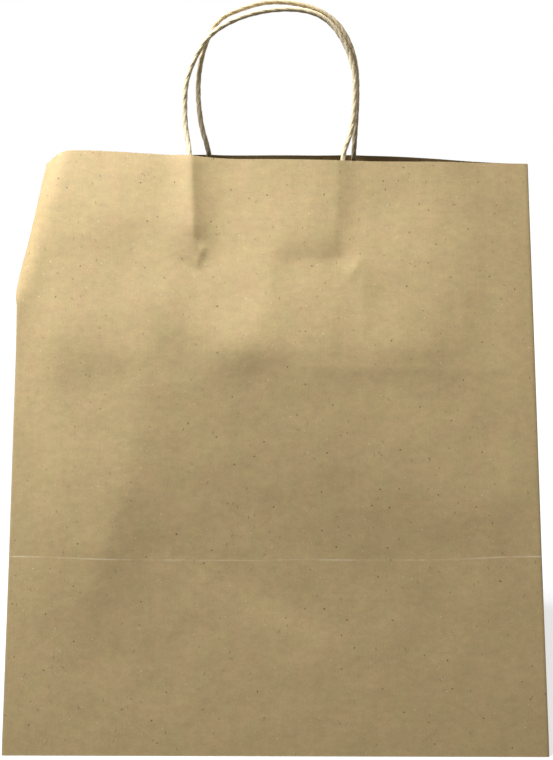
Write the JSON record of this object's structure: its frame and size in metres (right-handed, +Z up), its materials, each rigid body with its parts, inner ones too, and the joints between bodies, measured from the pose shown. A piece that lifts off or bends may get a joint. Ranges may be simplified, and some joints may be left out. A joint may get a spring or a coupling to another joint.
{
  "type": "paper carrier bag",
  "caption": "Kraft paper carrier bag with a folded block bottom, side gussets and twisted paper handles, standing with its mouth nearly closed.",
  "frame": {"origin": "middle of the base, on the surface that the bag stands on", "axes": "+Z up, +X across the bag to the right as seen from the front, -Y towards the front panel"},
  "size_m": [0.3571, 0.2545, 0.4913],
  "materials": {
    "kraft_paper": "matt brown kraft with fine grain and fibre specks, worn pale along the folds",
    "twisted_paper_cord": "matt brown paper twisted into a round cord",
    "patch_paper": "matt brown kraft strip"
  },
  "bodies": {
    "root": {"bag_body": "kraft_paper", "front_handle_cord": "twisted_paper_cord", "rear_handle_cord": "twisted_paper_cord", "front_patch_backing": "patch_paper", "front_patch_cover": "patch_paper", "rear_patch_backing": "patch_paper", "rear_patch_cover": "patch_paper"}
  },
  "joints": []
}
